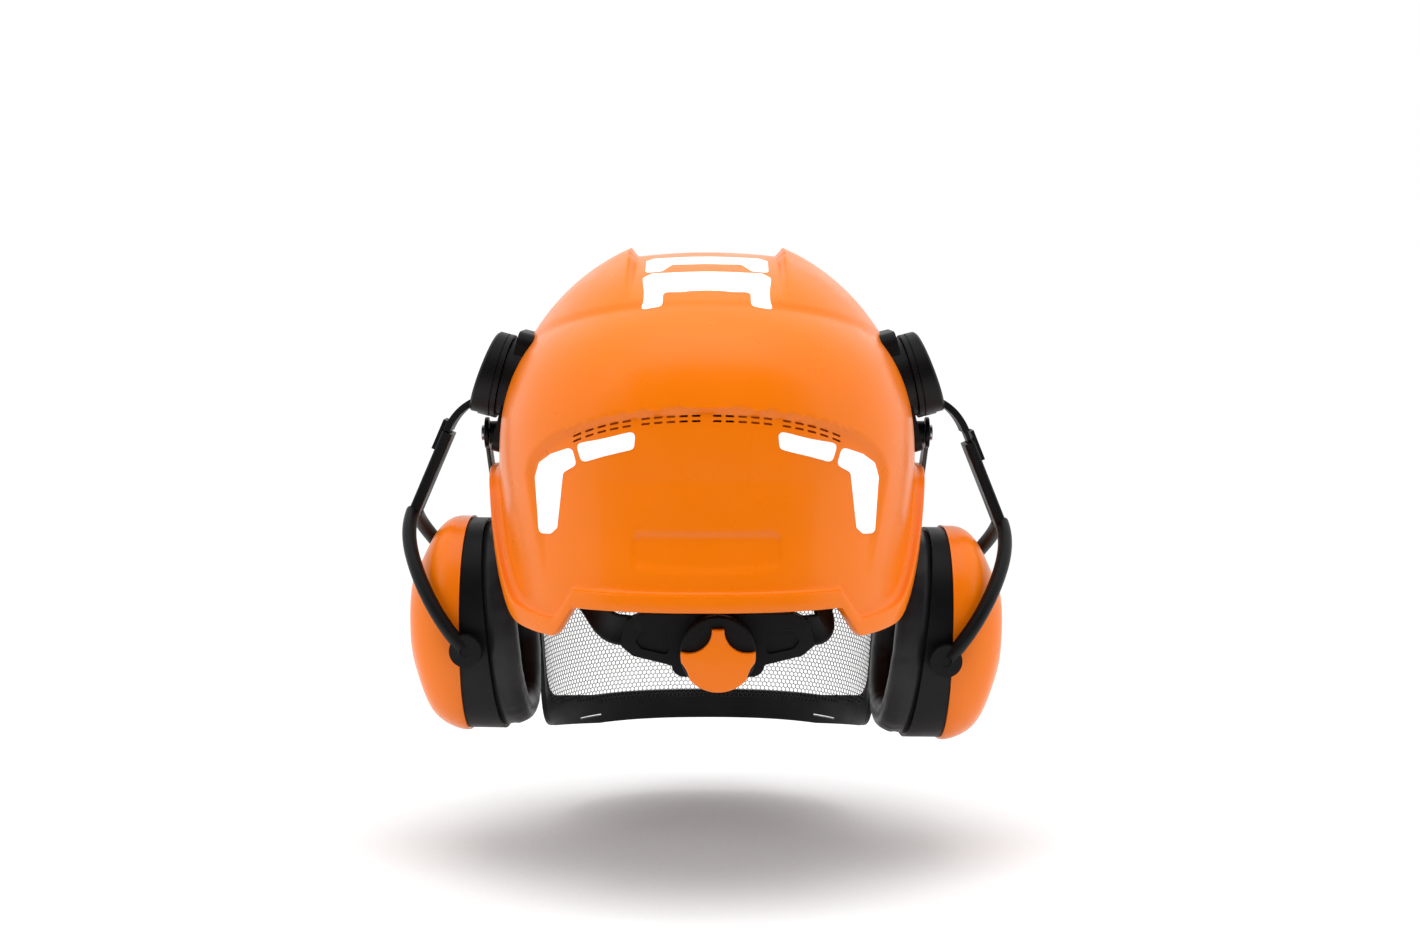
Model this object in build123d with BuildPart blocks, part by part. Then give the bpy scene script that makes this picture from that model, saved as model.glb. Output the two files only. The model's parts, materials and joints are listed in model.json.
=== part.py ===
"""Forestry helmet: hard shell with suspension harness, mesh visor and two flip-out ear muffs.

Frame: millimetres, +Z up, the wearer faces -Y and the wearer's left is +X.
The origin is the centre of the head opening, on the plane of the headband's lower edge.
"""
from build123d import *
from math import cos, pi, radians, sin, sqrt
import os

os.makedirs("parts", exist_ok=True)

# ---------------------------------------------------------------- driving dimensions
WALL = 3.0  # moulded shell wall

# Two domes make the shell: a rear one and a taller front one, which meet in a crease.
EQUATOR = 38.0  # height where both domes are widest
HALF_WIDTH = 104.5
REAR_LENGTH = 118.0
REAR_RISE = 90.0
FRONT_CENTRE = -15.0
FRONT_LENGTH = 103.0
FRONT_TAIL = 126.8
FRONT_RISE = 113.0
PLAN_POWER = 2.4  # superellipse power of every horizontal section
SECTION_POINTS = 28

# Crown channel between the two raised wings.
CHANNEL_HALF = 38.0
CHANNEL_RADIUS = 182.0
CHANNEL_CROWN = 289.0
CHANNEL_Y, CHANNEL_Z = -8.0, -39.9

# Lower edge, seen from the side as (y, z), rear to front.
RIM = [(100, -38.5), (84, -36.5), (66, -31), (50, -17), (36, -1), (22, 16), (8, 23.5),
       (-10, 25), (-45, 22), (-85, 17), (-118, 13)]
NOTCH_HALF = 62.5
NOTCH_SLANT = 10.0
NOTCH_Z = -22.0
FLANGE = 6.0
FLANGE_HEIGHT = 9.0
BRIM_A, BRIM_B, BRIM_Y = 94.0, 102.0, -40.0
BRIM_Z = 13.0

# Vents: four groups of five slots, in two rows that follow the rear step.
VENT_GROUPS = (-49.2, -16.7, 16.7, 49.2)
VENT_PITCH = 5.9
VENT_LENGTH, VENT_HEIGHT = 3.8, 1.0
VENT_Z, VENT_ROW = 69.4, 2.4

FILM = 0.3  # reflective film

# Harness, an ellipse round the head.
BAND_A, BAND_B = 80.0, 99.0
BAND_THICK = 1.8
BAND_TOP = 28.0
BAND_REAR = 34.0
STRAP_WIDTH, STRAP_THICK = 20.0, 1.2
STRAP_APEX = (108.0, 110.0, 112.0)
STRAP_ANGLES = (32.0, 90.0, 148.0)
HANGER_A, HANGER_B = 91.0, 106.0
HANGER_Z = 40.0
HANGER_THICK = 4.0

# Nape unit with its ratchet knob, a little off centre as the harness was last left.
NAPE_X = -5.0
NAPE_Y = 97.0
NAPE_HALF = 46.0
KNOB_X, KNOB_Z = -5.3, -44.6
KNOB_RADIUS = 18.0
KNOB_DEPTH = 11.0
PINION_RADIUS = 5.0
PINION_TEETH = 10

# Ear-muff chain, modelled on the left about the plane Y=0, then turned by YAW.
YAW = -5.0
HUB_X, HUB_Z = 101.7, 79.7  # centre of the drum's inner face
HUB_TILT = 14.0
HUB_FACE_TILT = 20.4
HUB_RADIUS = 21.5
HUB_THICK = 10.6
BOLT_RADIUS = 3.0
RUN_GAP = 0.05
CLEAR = 0.4
SEAT = 0.08
PIN_X, PIN_Z = 110.5, 70.5  # hinge that lets the cup swing outward
PIN_RADIUS = 1.5
ARM_WIDTH, ARM_THICK = 14.0, 3.4
KNEE_X, KNEE_Z = 131.3, 52.5
STEM_X, STEM_Z = 0.400, -0.917  # direction of the sliding stem
STEM_LENGTH = 46.0
BLADE_WIDTH, BLADE_THICK = 9.0, 2.0
PIVOT_X, PIVOT_Z = 114.8, -52.6
PRONG_Y = 49.0
RIGHT_SLID = 5.3  # the right cup is set this much lower on its arm
RIGHT_TURN = 1.5  # and hangs this many degrees further in

# Ear cup.
CUP_Z = -46.0
CUP_X = 119.5
CUP_WALL = 2.4
RING_HALF_Y, RING_HALF_Z = 41.5, 53.5
RING_LEAN = 5.2
RING_MID = 13.3
CUSHION_THICK = 15.0

# Visor.
VISOR_PIVOT_Y, VISOR_PIVOT_Z = -14.0, 50.0
VISOR_Y = -58.0
VISOR_SECTIONS = ((-140.0, 90.0), (-60.0, 92.8), (-20.0, 97.5), (30.0, 105.6))
VISOR_B = 92.0
VISOR_BOTTOM, VISOR_TOP = -124.5, 16.0
VISOR_REAR = -72.0
VISOR_RISE = 10.0
VISOR_BAR, VISOR_SIDE = 16.0, 7.0
VISOR_THICK = 2.6
MESH_THICK = 0.6
VISOR_ARM_X, VISOR_ARM_THICK = 111.4, 2.2


def export(part, name):
    part.label = name
    export_step(part, f"parts/{name}.step")


# ---------------------------------------------------------------- curved forms
def superellipse(a, front, rear, centre_y, power=PLAN_POWER):
    """Closed plan curve with half-width a, reaching front and rear of centre_y."""
    points = []
    for i in range(SECTION_POINTS):
        t = 2 * pi * i / SECTION_POINTS
        c, s = cos(t), sin(t)
        x = a * abs(c) ** (2 / power) * (1 if c >= 0 else -1)
        y = (rear if s >= 0 else front) * abs(s) ** (2 / power) * (1 if s >= 0 else -1)
        points.append((x, centre_y + y))
    return points


def shrink(rise, height, power):
    """Share of the equator size left at this height over the equator."""
    return max(1 - (max(height, 0) / rise) ** power, 0.0) ** (1 / power)


def stack(sections, base=Plane.XY):
    """Loft through closed curves, given as (offset from the base plane, points)."""
    with BuildPart() as solid:
        for height, points in sections:
            with BuildSketch(base.offset(height)):
                with BuildLine():
                    Spline(points, periodic=True)
                make_face()
        loft()
    return solid.part


def rear_dome(grow=0.0):
    sections = []
    rise = REAR_RISE + grow
    for z in (-48, -10, 38, 66, 90, 106, 117, 124):
        up = z - EQUATOR
        skirt = max(-up, 0)
        a = HALF_WIDTH * shrink(rise, up, 2.5) - 0.05 * skirt + grow
        rear = REAR_LENGTH * shrink(rise, up, 3.2) + 0.08 * skirt + grow
        front = 108.0 * shrink(rise, up, 3.2) + grow
        sections.append((z, superellipse(a, front, rear, 0)))
    return stack(sections)


def front_dome(grow=0.0):
    sections = []
    rise = FRONT_RISE + grow
    for z in (-20, 10, 38, 66, 92, 114, 131, 142, 147.6):
        up = z - EQUATOR
        skirt = max(-up, 0)
        a = HALF_WIDTH * shrink(rise, up, 2.0) - 0.05 * skirt + grow
        rear = FRONT_TAIL * shrink(rise, up, 2.2) - 8 * (skirt > 0) + grow
        front = FRONT_LENGTH * shrink(rise, up, 2.2) + 0.12 * skirt + grow
        sections.append((z, superellipse(a, front, rear, FRONT_CENTRE)))
    return stack(sections)


def channel_tool(grow=0.0):
    """Everything over the channel floor, between the wings."""
    half = CHANNEL_HALF - grow
    radius = CHANNEL_RADIUS + grow
    edge = CHANNEL_Z + radius - half ** 2 / (2 * CHANNEL_CROWN)
    top = CHANNEL_Z + radius + 60
    with BuildPart() as barrel:
        with BuildSketch(Plane.XZ.offset(-CHANNEL_Y)):
            with BuildLine():
                ThreePointArc((-half, edge), (0, CHANNEL_Z + radius), (half, edge))
                Polyline((half, edge), (half, top), (-half, top), (-half, edge))
            make_face()
        revolve(axis=Axis((0, CHANNEL_Y, CHANNEL_Z), (1, 0, 0)), revolution_arc=52)
        mirror(about=Plane.XZ.offset(-CHANNEL_Y))
    return barrel.part


def dome(grow=0.0):
    """The shell's full outer form, solid, grown by this much."""
    with BuildPart() as solid:
        add(rear_dome(grow))
        add(front_dome(grow))
        add(channel_tool(grow), mode=Mode.SUBTRACT)
    return solid.part


def smooth_dome(grow, heights):
    """Both domes merged into one unbroken form, for the inside and for the flange."""
    sections = []
    for z in heights:
        up = z - EQUATOR
        skirt = max(-up, 0)
        a = HALF_WIDTH * shrink(FRONT_RISE + grow, up, 2.0) - 0.05 * skirt + grow
        rear = REAR_LENGTH * shrink(FRONT_RISE + grow, up, 2.3) + 0.08 * skirt + grow
        front = (FRONT_LENGTH - FRONT_CENTRE) * shrink(FRONT_RISE + grow, up, 2.2)
        sections.append((z, superellipse(a - 3 * (up > 10), front + 0.12 * skirt + grow,
                                         rear - 4 * (up > 10), 0)))
    return stack(sections)


def over_rim(lift=0.0):
    """Everything over the lower edge, raised by lift."""
    rear_y, rear_z = RIM[0]
    front_y, front_z = RIM[-1]
    far, top = 200, 220
    low_half = NOTCH_HALF + NOTCH_SLANT
    with BuildPart() as block:
        with BuildSketch(Plane.YZ):
            with BuildLine():
                Spline([(y, z + lift) for y, z in RIM])
                Polyline((front_y, front_z + lift), (-far, front_z + lift), (-far, top),
                         (far, top), (far, rear_z + lift), (rear_y, rear_z + lift))
            make_face()
        extrude(amount=130, both=True)
        with BuildSketch(Plane.XZ) as notch:
            with BuildLine():
                Polyline((-low_half, -60), (-low_half, rear_z + lift),
                         (-NOTCH_HALF, NOTCH_Z + lift), (NOTCH_HALF, NOTCH_Z + lift),
                         (low_half, rear_z + lift), (low_half, -60), close=True)
            make_face()
            fillet(notch.vertices().group_by(Axis.Y)[-1], 5)
        extrude(amount=-far, mode=Mode.SUBTRACT)
    return block.part


def ring_sketch(a, b, thick, centre=(0, 0)):
    """Elliptical band, drawn inward from a and b."""
    with BuildSketch() as ring:
        with Locations(centre):
            Ellipse(a, b)
            Ellipse(a - thick, b - thick, mode=Mode.SUBTRACT)
    return ring.sketch


# ---------------------------------------------------------------- placing the ear muffs
def on_left(part):
    return part.rotate(Axis((HUB_X, 0, 0), (0, 0, 1)), YAW)


def on_right(part, turned=False, slid=False):
    """Mirror image of a left piece, with the right cup's own setting."""
    piece = part
    if slid:
        piece = piece.moved(Location((RIGHT_SLID * STEM_X, 0, RIGHT_SLID * STEM_Z)))
    if turned:
        piece = piece.rotate(Axis((PIN_X, 0, PIN_Z), (0, 1, 0)), RIGHT_TURN)
    return on_left(piece).mirror(Plane.YZ)


def export_pair(part, name, turned=False, slid=False):
    with BuildPart() as left:
        add(on_left(part))
    export(left.part, f"left_{name}")
    with BuildPart() as right:
        add(on_right(part, turned, slid))
    export(right.part, f"right_{name}")


hub_plane = Plane(origin=(HUB_X, 0, HUB_Z), x_dir=(0, 1, 0),
                  z_dir=(cos(radians(HUB_TILT)), 0, sin(radians(HUB_TILT))))

# ---------------------------------------------------------------- shell
outer = dome()
inner = smooth_dome(-WALL, (-48, -10, 30, 60, 84, 104, 120, 131, 137.5))

with BuildPart() as bolt_hole:
    with BuildSketch(hub_plane.offset(-30)):
        Circle(BOLT_RADIUS)
    extrude(amount=40)

with BuildPart() as slots:
    for centre in VENT_GROUPS:
        for i in range(5):
            x = centre + (i - 2) * VENT_PITCH
            fall = 0.0017 * x ** 2 + 2.8e-7 * x ** 4
            with Locations((x, 100, VENT_Z - fall), (x, 100, VENT_Z - VENT_ROW - fall)):
                Box(VENT_LENGTH, 60, VENT_HEIGHT)

with BuildPart() as flange:
    add(smooth_dome(FLANGE, (-48, -10, 15, 38, 47)))
    add(over_rim(), mode=Mode.INTERSECT)
    add(over_rim(FLANGE_HEIGHT), mode=Mode.SUBTRACT)

with BuildPart() as brim:
    with BuildSketch(Plane.XY.offset(BRIM_Z)):
        with Locations((0, BRIM_Y)):
            Ellipse(BRIM_A, BRIM_B)
        with Locations((0, 65)):
            Rectangle(240, 250, mode=Mode.SUBTRACT)
    extrude(amount=WALL)

with BuildPart() as shell:
    add(outer)
    add(over_rim(), mode=Mode.INTERSECT)
    add(flange.part)
    add(brim.part)
    add(inner, mode=Mode.SUBTRACT)
    add(slots.part, mode=Mode.SUBTRACT)
    add(on_left(bolt_hole.part), mode=Mode.SUBTRACT)
    add(on_right(bolt_hole.part), mode=Mode.SUBTRACT)
export(shell.part, "shell")

# ---------------------------------------------------------------- reflective film
REAR_BAR = [(61.5, 54.9), (33.1, 62.1), (34.0, 53.6), (58.8, 46.3)]
REAR_CORNER = [(63.6, 53.4), (73.9, 49.2), (80.0, 44.3), (82.1, 37.2), (80.1, 10.6),
               (74.0, 11.2), (70.9, 14.4), (67.9, 40.9), (61.3, 45.0)]
TOP_NEAR = [(-31, 78), (-31, 50), (-27, 45), (27, 45), (31, 50), (31, 78), (21, 78), (21, 68),
            (-21, 68), (-21, 78)]
TOP_FAR = [(-30, 43), (-30, 21), (-26, 16), (26, 16), (30, 21), (30, 43), (22, 43), (17, 33),
           (-17, 33), (-22, 43)]

film_outer = dome(FILM)

with BuildPart() as reflectors_rear:
    with BuildSketch(Plane.XZ):
        for outline in (REAR_BAR, REAR_CORNER):
            with BuildLine():
                Polyline(*outline, close=True)
            make_face()
        mirror(about=Plane.YZ)
    extrude(amount=-150)
    add(film_outer, mode=Mode.INTERSECT)
    add(outer, mode=Mode.SUBTRACT)
export(reflectors_rear.part, "reflectors_rear")

with BuildPart() as reflectors_top:
    with BuildSketch(Plane.XY.offset(100)):
        for outline in (TOP_NEAR, TOP_FAR):
            with BuildLine():
                Polyline(*outline, close=True)
            make_face()
    extrude(amount=60)
    add(film_outer, mode=Mode.INTERSECT)
    add(outer, mode=Mode.SUBTRACT)
export(reflectors_top.part, "reflectors_top")

# ---------------------------------------------------------------- harness
with BuildPart() as headband:
    add(extrude(ring_sketch(BAND_A, BAND_B, BAND_THICK), BAND_TOP, mode=Mode.PRIVATE))
    with Locations((0, BAND_REAR + 100, BAND_TOP / 2)):
        Box(220, 200, 60, mode=Mode.SUBTRACT)
export(headband.part, "headband")

SWEAT_THICK = 3.2
with BuildPart() as sweatband:
    sweat_ring = ring_sketch(BAND_A - BAND_THICK, BAND_B - BAND_THICK, SWEAT_THICK)
    add(extrude(sweat_ring, BAND_TOP + 2, mode=Mode.PRIVATE))
    with Locations((0, 60, 20)):
        Box(220, 200, 80, mode=Mode.SUBTRACT)
export(sweatband.part, "sweatband")

with BuildPart() as strap_hangers:
    for angle in STRAP_ANGLES:
        for way in (0, 180):
            t = radians(angle + way)
            reach = 1 / sqrt((cos(t) / HANGER_A) ** 2 + (sin(t) / HANGER_B) ** 2)
            with BuildSketch(Plane.XY.offset(HANGER_Z - 10)):
                with Locations(Location((reach * cos(t), reach * sin(t)), angle + way)):
                    Rectangle(HANGER_THICK, STRAP_WIDTH + 8)
            extrude(amount=22)
export(strap_hangers.part, "strap_hangers")

for index, (angle, apex) in enumerate(zip(STRAP_ANGLES, STRAP_APEX)):
    t = radians(angle)
    reach = 1 / sqrt((cos(t) / HANGER_A) ** 2 + (sin(t) / HANGER_B) ** 2) - HANGER_THICK / 2
    along = Plane(origin=(0, 0, HANGER_Z), x_dir=(cos(t), sin(t), 0), z_dir=(sin(t), -cos(t), 0))
    with BuildPart() as strap:
        with BuildSketch(along):
            Ellipse(reach - CLEAR, apex - HANGER_Z)
            Ellipse(reach - CLEAR - STRAP_THICK, apex - HANGER_Z - STRAP_THICK, mode=Mode.SUBTRACT)
            with Locations((0, -100)):
                Rectangle(300, 200, mode=Mode.SUBTRACT)
        extrude(amount=STRAP_WIDTH / 2, both=True)
    export(strap.part, f"crown_strap_{index + 1}")

# ---------------------------------------------------------------- nape unit
NAPE_OUTLINE = [(46, -40), (43, -28), (36, -25), (-36, -25), (-43, -28), (-46, -40), (-40, -45),
                (-18, -50.5), (18, -50.5), (40, -45)]
WING_PANEL = [(23, -33), (36, -33), (39, -37.5), (36, -41.5), (23, -44.5)]
with BuildPart() as nape_outline:
    with BuildSketch(Plane.XZ.offset(-NAPE_Y)) as wings:
        with BuildLine():
            Polyline(*[(NAPE_X + x, z) for x, z in NAPE_OUTLINE], close=True)
        make_face()
        fillet(wings.vertices(), 2.5)
        with Locations((KNOB_X, -40)):
            RectangleRounded(44, 30, 6)
    extrude(amount=-5)

with BuildPart() as nape_frame:
    add(nape_outline.part)
    with BuildSketch(Plane.XZ.offset(-NAPE_Y - 2)):
        with Locations((KNOB_X, KNOB_Z + 2)):
            Circle(PINION_RADIUS + 3)
    extrude(amount=-3, mode=Mode.SUBTRACT)
export(nape_frame.part, "nape_frame")

with BuildPart() as nape_housing:
    add(nape_outline.part.moved(Location((0, 5, 0))))
    with BuildSketch(Plane.XZ.offset(-NAPE_Y - 8.4)) as panels:
        for way in (1, -1):
            with BuildLine():
                Polyline(*[(NAPE_X + way * x, z) for x, z in WING_PANEL], close=True)
            make_face()
        fillet(panels.vertices(), 2)
    extrude(amount=-3, mode=Mode.SUBTRACT)
    with BuildSketch(Plane.XZ.offset(-NAPE_Y)):
        with Locations((KNOB_X, KNOB_Z + 2)):
            Circle(2.5 + RUN_GAP)
    extrude(amount=-20, mode=Mode.SUBTRACT)
export(nape_housing.part, "nape_housing")

KNOB_AXIS_Z = KNOB_Z + 2
with BuildPart() as pinion:
    with BuildSketch(Plane.XZ.offset(-NAPE_Y - 2.4)):
        with Locations((KNOB_X, KNOB_AXIS_Z)):
            Circle(PINION_RADIUS)
            with PolarLocations(PINION_RADIUS, PINION_TEETH):
                Circle(0.9)
    extrude(amount=-2.3)
    with BuildSketch(Plane.XZ.offset(-NAPE_Y - 4.7)):
        with Locations((KNOB_X, KNOB_AXIS_Z)):
            Circle(2.5)
    extrude(amount=-6.3)
export(pinion.part, "pinion")

with BuildPart() as nape_pads:
    with BuildSketch(Plane.XZ.offset(-NAPE_Y)):
        with Locations((NAPE_X - 23, -36.5), (NAPE_X + 23, -36.5)):
            RectangleRounded(34, 17, 7)
    extrude(amount=4)
export(nape_pads.part, "nape_pads")

KNOB_BASE_Y = NAPE_Y + 11.0
STAR_CUTS = ((17.9, 40, 10.8), (17.9, 140, 10.8), (34, 206, 17.5), (34, 334, 17.5))
STAR_TOP = 12.0
with BuildPart() as knob_grip:
    with BuildSketch(Plane.XZ.offset(-KNOB_BASE_Y)):
        with Locations((KNOB_X, KNOB_AXIS_Z)):
            Circle(KNOB_RADIUS)
    extrude(amount=-KNOB_DEPTH + 3)
    chamfer(knob_grip.edges().group_by(Axis.Y)[-1], 0.8)
export(knob_grip.part, "knob_grip")

with BuildPart() as knob_star:
    with BuildSketch(Plane.XZ.offset(-KNOB_BASE_Y - KNOB_DEPTH + 3)):
        with Locations((KNOB_X, KNOB_AXIS_Z)):
            Circle(KNOB_RADIUS - 0.4)
        with Locations((KNOB_X, KNOB_AXIS_Z + STAR_TOP + 5)):
            Rectangle(20, 10, mode=Mode.SUBTRACT)
        for reach, angle, radius in STAR_CUTS:
            t = radians(angle)
            with Locations((KNOB_X + reach * cos(t), KNOB_AXIS_Z + reach * sin(t))):
                Circle(radius, mode=Mode.SUBTRACT)
    extrude(amount=-4.2)
    fillet(knob_star.edges().group_by(Axis.Y)[-1], 0.8)
export(knob_star.part, "knob_star")

BAND_ARM_WIDTH, BAND_ARM_THICK = 15.0, 2.0
for side, name in ((1, "left"), (-1, "right")):
    tip_x = NAPE_X + side * (NAPE_HALF + 3.0)
    with BuildPart() as band_arm:
        with BuildLine() as path:
            Spline((side * 75.5, BAND_REAR + 3, 12), (side * 73, 56, 4), (side * 65, 75, -10),
                   (side * 56, 88, -22), (tip_x, NAPE_Y + 2, -33))
        start = Plane(origin=path.line @ 0, z_dir=path.line % 0, x_dir=(0, 0, 1))
        with BuildSketch(start):
            Rectangle(BAND_ARM_WIDTH, BAND_ARM_THICK)
        sweep(path=path.line)
    export(band_arm.part, f"{name}_band_arm")

# ---------------------------------------------------------------- hub
with BuildPart() as bracket_form:
    with BuildSketch(hub_plane.offset(-28)):
        Circle(HUB_RADIUS - 1.5)
    extrude(amount=28 - CLEAR)
    with BuildSketch(hub_plane.offset(-20)):
        with Locations((0, -6)):
            RectangleRounded(30, 62, 6)
        with Locations((VISOR_PIVOT_Y + 4, -27)):
            RectangleRounded(24, 18, 5)
    extrude(amount=17)
    with BuildSketch(hub_plane.offset(-28)):
        Circle(BOLT_RADIUS)
    extrude(amount=40, mode=Mode.SUBTRACT)

left_pivot = Plane(origin=(VISOR_ARM_X - CLEAR, VISOR_PIVOT_Y, VISOR_PIVOT_Z),
                   x_dir=(0, 1, 0), z_dir=(1, 0, 0))
with BuildPart() as left_bracket:
    add(on_left(bracket_form.part))
    with BuildSketch(left_pivot.offset(-12)):
        Circle(6)
    extrude(amount=12)
    with BuildSketch(left_pivot.offset(-12)):
        Circle(PIN_RADIUS + 0.5)
    extrude(amount=14, mode=Mode.SUBTRACT)
    add(outer.moved(Location((SEAT, 0, SEAT / 2))), mode=Mode.SUBTRACT)
export(left_bracket.part, "left_bracket")
with BuildPart() as right_bracket:
    add(left_bracket.part.mirror(Plane.YZ))
export(right_bracket.part, "right_bracket")

face_plane = Plane(origin=(112.0, 0, 84.0), x_dir=(0, 1, 0),
                   z_dir=(cos(radians(HUB_FACE_TILT)), 0, sin(radians(HUB_FACE_TILT))))
HEAD_RADIUS = 6.0
RELIEF_REACH = 30.0
relief = []
for angle in (30, 5, -20, -45, -60):
    t = radians(angle)
    relief.append((PIN_X + RELIEF_REACH * cos(t), PIN_Z + RELIEF_REACH * sin(t)))

with BuildPart() as hub_drum:
    with BuildSketch(hub_plane):
        Circle(HUB_RADIUS)
    extrude(amount=26)
    split(bisect_by=face_plane, keep=Keep.BOTTOM)
    chamfer(hub_drum.edges().filter_by(GeomType.ELLIPSE), 1.2)
    with BuildSketch(hub_plane.offset(2.4)):
        Circle(HUB_RADIUS)
        Circle(HUB_RADIUS - 0.8, mode=Mode.SUBTRACT)
    extrude(amount=0.7, mode=Mode.SUBTRACT)
    with BuildSketch(hub_plane):
        Circle(BOLT_RADIUS + RUN_GAP)
    extrude(amount=30, mode=Mode.SUBTRACT)
    with BuildSketch(hub_plane.offset(4)):
        Circle(HEAD_RADIUS + CLEAR)
    extrude(amount=30, mode=Mode.SUBTRACT)
    with BuildSketch(Plane.XZ):
        with BuildLine():
            Polyline((PIN_X, PIN_Z), *relief, close=True)
        make_face()
        with Locations((PIN_X, PIN_Z)):
            Circle(3.4 + CLEAR)
    extrude(amount=ARM_WIDTH / 2 + CLEAR, both=True, mode=Mode.SUBTRACT)
    with BuildSketch(Plane.XZ):
        with Locations((PIN_X, PIN_Z)):
            Circle(PIN_RADIUS)
    extrude(amount=ARM_WIDTH / 2 + 3, both=True, mode=Mode.SUBTRACT)
export_pair(hub_drum.part, "hub_drum")

with BuildPart() as hub_pin:
    with BuildSketch(Plane.XZ):
        with Locations((PIN_X, PIN_Z)):
            Circle(PIN_RADIUS)
    extrude(amount=ARM_WIDTH / 2 + 3, both=True)
export_pair(hub_pin.part, "hub_pin")

with BuildPart() as hub_cap:
    with BuildSketch(face_plane):
        Circle(8.4)
    extrude(amount=1.5)
export_pair(hub_cap.part, "hub_cap")

with BuildPart() as bolt:
    with BuildSketch(hub_plane.offset(-18)):
        Circle(BOLT_RADIUS)
    extrude(amount=22 + 0.3)
    with BuildSketch(hub_plane.offset(4.3)):
        RegularPolygon(HEAD_RADIUS, 6)
    extrude(amount=2.6)
with BuildPart() as hub_bolts:
    add(on_left(bolt.part))
    add(on_right(bolt.part))
export(hub_bolts.part, "hub_bolts")

with BuildPart() as nut:
    with BuildSketch(hub_plane.offset(-18)):
        RegularPolygon(7, 6)
        Circle(BOLT_RADIUS, mode=Mode.SUBTRACT)
    extrude(amount=10)
with BuildPart() as left_nut:
    add(on_left(nut.part))
    add(inner.moved(Location((-SEAT, 0, -SEAT / 2))), mode=Mode.INTERSECT)
with BuildPart() as hub_nuts:
    add(left_nut.part)
    add(left_nut.part.mirror(Plane.YZ))
export(hub_nuts.part, "hub_nuts")

# ---------------------------------------------------------------- arm
BLADE_END = 33.0
blade_end = (KNEE_X + BLADE_END * STEM_X, KNEE_Z + BLADE_END * STEM_Z)
with BuildPart() as arm:
    with BuildSketch(Plane.XZ) as strip:
        with BuildLine() as bend:
            Spline((PIN_X, PIN_Z), (121, 65.4), (KNEE_X, KNEE_Z),
                   tangents=((0.87, -0.35), (STEM_X, STEM_Z)))
        trace(bend.line, line_width=ARM_THICK)
    extrude(amount=ARM_WIDTH / 2, both=True)
    with BuildSketch(Plane.XZ):
        with Locations((PIN_X, PIN_Z)):
            Circle(3.4)
    extrude(amount=ARM_WIDTH / 2, both=True)
    with BuildSketch(Plane.XZ):
        with BuildLine() as blade:
            Line((KNEE_X - 3 * STEM_X, KNEE_Z - 3 * STEM_Z), blade_end)
        trace(blade.line, line_width=BLADE_THICK)
    extrude(amount=BLADE_WIDTH / 2, both=True)
    with BuildSketch(Plane.XZ):
        with Locations((PIN_X, PIN_Z)):
            Circle(PIN_RADIUS + RUN_GAP)
    extrude(amount=ARM_WIDTH, both=True, mode=Mode.SUBTRACT)
export_pair(arm.part, "arm", turned=True)

# ---------------------------------------------------------------- yoke
STEM_THICK, STEM_WIDTH = 5.4, 15.0
stem_plane = Plane(origin=(KNEE_X, 0, KNEE_Z), x_dir=(0, 1, 0), z_dir=(STEM_X, 0, STEM_Z))
with BuildPart() as yoke:
    with BuildSketch(stem_plane.offset(0.8)):
        with Locations((0, -0.7)):
            RectangleRounded(STEM_WIDTH, STEM_THICK, 1.5)
    extrude(amount=STEM_LENGTH)
    with BuildSketch(stem_plane):
        Rectangle(BLADE_WIDTH + 2 * CLEAR, BLADE_THICK + 2 * CLEAR)
    extrude(amount=STEM_LENGTH - 3, mode=Mode.SUBTRACT)
    for way in (1, -1):
        with BuildLine() as prong_line:
            Spline((149.3, way * 4, 11), (148.6, way * 18, 2), (142.5, way * 35, -12),
                   (132, way * 46.5, -30), (PIVOT_X + 0.5, way * PRONG_Y, PIVOT_Z))
        line = prong_line.line
        with BuildSketch(Plane(origin=line @ 0, z_dir=line % 0, x_dir=(1, 0, 0))):
            Ellipse(3.6, 3.8)
        sweep(path=line)
    with BuildSketch(stem_plane.offset(-4.5)):
        with Locations((0, 3.0)):
            Rectangle(10, 1.7)
    extrude(amount=16)
    with BuildSketch(stem_plane.offset(0.8)):
        with Locations((0, 2.2)):
            Rectangle(10, 2)
    extrude(amount=10)
    with BuildSketch(Plane.XZ.offset(-PRONG_Y - 3)):
        with Locations((PIVOT_X, PIVOT_Z)):
            Circle(8)
    extrude(amount=6)
    with BuildSketch(Plane.XZ.offset(PRONG_Y + 3)):
        with Locations((PIVOT_X, PIVOT_Z)):
            Circle(8)
    extrude(amount=-6)
    with BuildSketch(Plane.XZ):
        with Locations((PIVOT_X, PIVOT_Z)):
            Circle(2.5 + RUN_GAP)
    extrude(amount=70, both=True, mode=Mode.SUBTRACT)
export_pair(yoke.part, "yoke", turned=True, slid=True)

# ---------------------------------------------------------------- cup
CUP_SECTIONS = [(0.0, 42.5, 54.5, -46.0), (5.0, 42.5, 54.3, -46.0), (12.0, 41.0, 52.0, -45.5),
                (17.0, 38.5, 47.5, -46.0), (22.0, 34.5, 38.5, -46.0), (26.0, 29.0, 29.0, -44.0),
                (27.8, 20.0, 19.0, -40.0)]


def oval(half_y, half_z, centre_z, power=2.3):
    points = []
    for i in range(24):
        t = 2 * pi * i / 24
        c, s = cos(t), sin(t)
        y = half_y * abs(c) ** (2 / power) * (1 if c >= 0 else -1)
        z = half_z * abs(s) ** (2 / power) * (1 if s >= 0 else -1)
        points.append((y, centre_z + z))
    return points


def cup_solid(inset=0.0):
    sections = []
    for depth, half_y, half_z, centre_z in CUP_SECTIONS:
        sections.append((CUP_X + depth - inset, oval(half_y - inset, half_z - inset, centre_z)))
    return stack(sections, Plane.YZ)


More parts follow.
